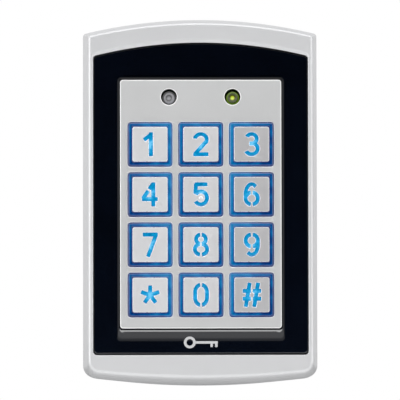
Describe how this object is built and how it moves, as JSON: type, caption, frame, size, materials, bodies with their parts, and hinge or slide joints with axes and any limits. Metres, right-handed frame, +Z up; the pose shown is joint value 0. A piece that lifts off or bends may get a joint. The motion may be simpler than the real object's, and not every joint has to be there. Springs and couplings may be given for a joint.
{
  "type": "keypad access reader",
  "caption": "Wall-mounted access reader: satin grey metal housing with arched ends, gloss black bezel, backlit metal push keys and two status lights.",
  "frame": {"origin": "middle of the wall plate's back face, where the reader rests on the wall", "axes": "+Z up the wall, +Y into the wall, +X to the right of somebody who faces the keys; the keys look along -Y"},
  "size_m": [0.0768, 0.0223, 0.12],
  "materials": {
    "housing_paint": "satin light grey powder coat, fine grain",
    "bezel_gloss": "high gloss black",
    "tape_grey": "double-sided adhesive tape",
    "plate_metal": "satin, fine vertical brushing",
    "cap_metal": "satin, polished chamfer",
    "lens_blue": "translucent blue, lit from behind",
    "led_clear": "clear epoxy, unlit",
    "led_green": "tinted epoxy, lit",
    "led_white": "moulded white package",
    "board_green": "solder mask",
    "switch_black": "moulded",
    "plunger_black": "moulded",
    "coil_copper": "enamelled copper wire",
    "chip_black": "moulded epoxy",
    "relay_blue": "moulded case",
    "buzzer_black": "moulded case",
    "capacitor_sleeve": "drawn aluminium can",
    "header_ivory": "moulded nylon",
    "sensor_tan": "ceramic light sensor",
    "cover_grey": "moulded, fine spark texture",
    "rubber_black": "soft moulded rubber",
    "screw_steel": "zinc plated",
    "security_steel": "stainless",
    "wall_plate_steel": "galvanised sheet"
  },
  "bodies": {
    "reader": {"front_housing": "housing_paint", "bezel": "bezel_gloss", "plate_tape": "tape_grey", "keypad_plate": "plate_metal", "status_led_left": "led_clear", "status_led_right": "led_green", "main_board": "board_green", "switch_bodies": "switch_black", "backlight_leds": "led_white", "antenna_coil": "coil_copper", "controller_chips": "chip_black", "lock_relay": "relay_blue", "buzzer": "buzzer_black", "capacitors": "capacitor_sleeve", "wiring_header": "header_ivory", "tamper_sensor": "sensor_tan", "rear_cover": "cover_grey", "cable_grommet": "rubber_black", "cover_screws": "screw_steel", "board_screws": "screw_steel", "wall_plate": "wall_plate_steel", "security_screw": "security_steel"},
    "key_1": {"key_cap_1": "cap_metal", "key_lens_1": "lens_blue", "switch_plunger_1": "plunger_black"},
    "key_2": {"key_cap_2": "cap_metal", "key_lens_2": "lens_blue", "switch_plunger_2": "plunger_black"},
    "key_3": {"key_cap_3": "cap_metal", "key_lens_3": "lens_blue", "switch_plunger_3": "plunger_black"},
    "key_4": {"key_cap_4": "cap_metal", "key_lens_4": "lens_blue", "switch_plunger_4": "plunger_black"},
    "key_5": {"key_cap_5": "cap_metal", "key_lens_5": "lens_blue", "switch_plunger_5": "plunger_black"},
    "key_6": {"key_cap_6": "cap_metal", "key_lens_6": "lens_blue", "switch_plunger_6": "plunger_black"},
    "key_7": {"key_cap_7": "cap_metal", "key_lens_7": "lens_blue", "switch_plunger_7": "plunger_black"},
    "key_8": {"key_cap_8": "cap_metal", "key_lens_8": "lens_blue", "switch_plunger_8": "plunger_black"},
    "key_9": {"key_cap_9": "cap_metal", "key_lens_9": "lens_blue", "switch_plunger_9": "plunger_black"},
    "key_star": {"key_cap_star": "cap_metal", "key_lens_star": "lens_blue", "switch_plunger_star": "plunger_black"},
    "key_0": {"key_cap_0": "cap_metal", "key_lens_0": "lens_blue", "switch_plunger_0": "plunger_black"},
    "key_hash": {"key_cap_hash": "cap_metal", "key_lens_hash": "lens_blue", "switch_plunger_hash": "plunger_black"}
  },
  "joints": [
    {"name": "press_1", "type": "slide", "parent": "reader", "child": "key_1", "axis": [0, 1, 0], "range_m": [0, 0.0005], "stiffness_N_per_m": 1600, "springref_m": -0.0005},
    {"name": "press_2", "type": "slide", "parent": "reader", "child": "key_2", "axis": [0, 1, 0], "range_m": [0, 0.0005], "stiffness_N_per_m": 1600, "springref_m": -0.0005},
    {"name": "press_3", "type": "slide", "parent": "reader", "child": "key_3", "axis": [0, 1, 0], "range_m": [0, 0.0005], "stiffness_N_per_m": 1600, "springref_m": -0.0005},
    {"name": "press_4", "type": "slide", "parent": "reader", "child": "key_4", "axis": [0, 1, 0], "range_m": [0, 0.0005], "stiffness_N_per_m": 1600, "springref_m": -0.0005},
    {"name": "press_5", "type": "slide", "parent": "reader", "child": "key_5", "axis": [0, 1, 0], "range_m": [0, 0.0005], "stiffness_N_per_m": 1600, "springref_m": -0.0005},
    {"name": "press_6", "type": "slide", "parent": "reader", "child": "key_6", "axis": [0, 1, 0], "range_m": [0, 0.0005], "stiffness_N_per_m": 1600, "springref_m": -0.0005},
    {"name": "press_7", "type": "slide", "parent": "reader", "child": "key_7", "axis": [0, 1, 0], "range_m": [0, 0.0005], "stiffness_N_per_m": 1600, "springref_m": -0.0005},
    {"name": "press_8", "type": "slide", "parent": "reader", "child": "key_8", "axis": [0, 1, 0], "range_m": [0, 0.0005], "stiffness_N_per_m": 1600, "springref_m": -0.0005},
    {"name": "press_9", "type": "slide", "parent": "reader", "child": "key_9", "axis": [0, 1, 0], "range_m": [0, 0.0005], "stiffness_N_per_m": 1600, "springref_m": -0.0005},
    {"name": "press_star", "type": "slide", "parent": "reader", "child": "key_star", "axis": [0, 1, 0], "range_m": [0, 0.0005], "stiffness_N_per_m": 1600, "springref_m": -0.0005},
    {"name": "press_0", "type": "slide", "parent": "reader", "child": "key_0", "axis": [0, 1, 0], "range_m": [0, 0.0005], "stiffness_N_per_m": 1600, "springref_m": -0.0005},
    {"name": "press_hash", "type": "slide", "parent": "reader", "child": "key_hash", "axis": [0, 1, 0], "range_m": [0, 0.0005], "stiffness_N_per_m": 1600, "springref_m": -0.0005}
  ]
}
